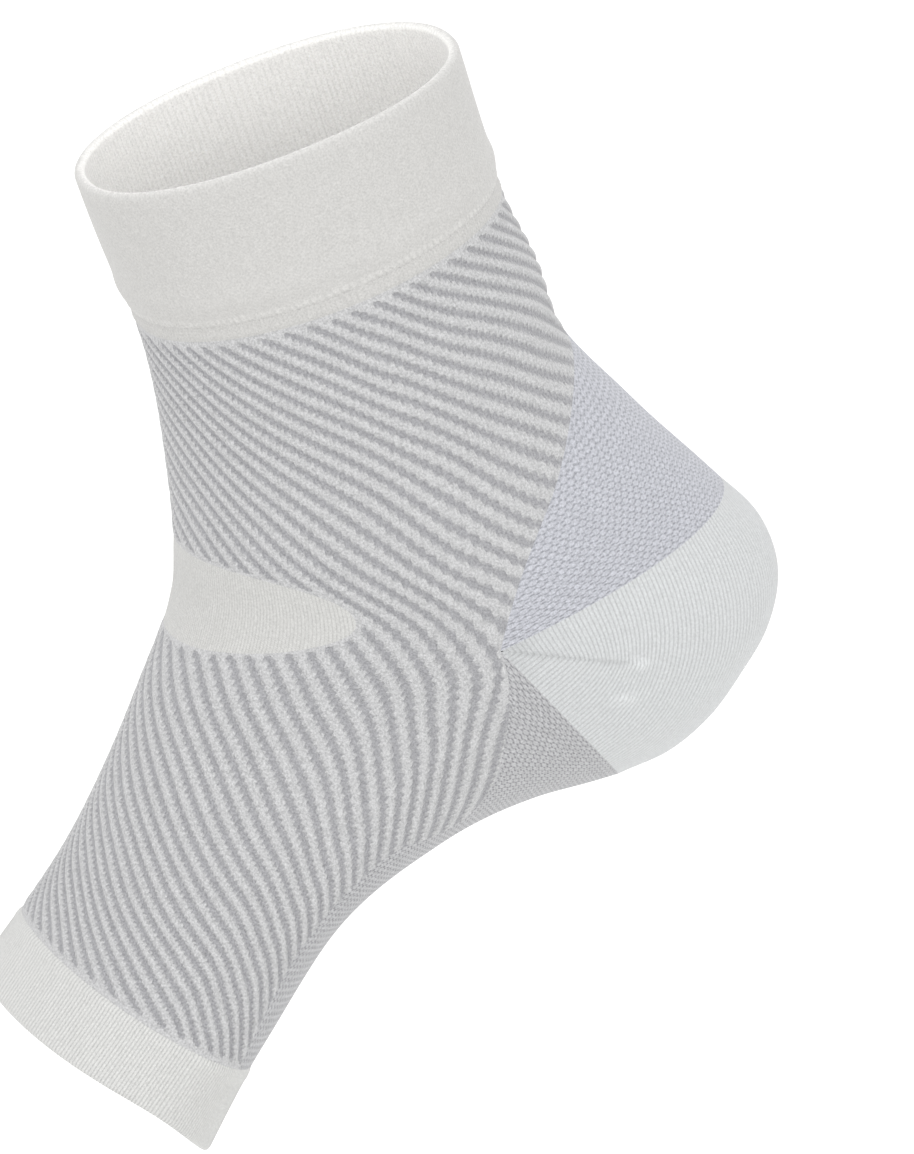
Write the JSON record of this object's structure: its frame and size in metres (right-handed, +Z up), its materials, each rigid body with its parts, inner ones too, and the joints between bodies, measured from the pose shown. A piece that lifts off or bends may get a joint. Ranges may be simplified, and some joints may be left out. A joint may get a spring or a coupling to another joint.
{
  "type": "open-toe knitted foot sleeve",
  "caption": "Open-toe knitted compression sleeve for the ankle and arch, with a turned cuff, striped knit, mesh panels, a turned heel and a ribbed toe band, in its worn shape.",
  "frame": {"origin": "centre of the ankle, on the leg's axis, where the foot holds the sleeve", "axes": "+Z up along the leg out of the cuff, -Y towards the toes, +Y towards the heel, X across the foot"},
  "size_m": [0.0872, 0.1757, 0.1902],
  "materials": {
    "plain_knit": "matte fine plain knit, white nylon and elastane yarn",
    "striped_knit": "matte knit with raised white diagonal ribs between pale grey grooves",
    "mesh_knit": "matte open mesh knit, pale lilac grey",
    "patch_knit": "matte fine plain knit, white, with no lettering",
    "heel_knit": "smooth fine knit with fine wale lines, white",
    "ribbed_knit": "matte one-by-one rib knit, white"
  },
  "bodies": {
    "root": {"ankle_cuff": "plain_knit", "cuff_join_band": "plain_knit", "striped_sleeve": "striped_knit", "achilles_panel": "mesh_knit", "instep_patch": "patch_knit", "heel_pocket": "heel_knit", "sole_panel": "mesh_knit", "toe_band": "ribbed_knit"}
  },
  "joints": []
}
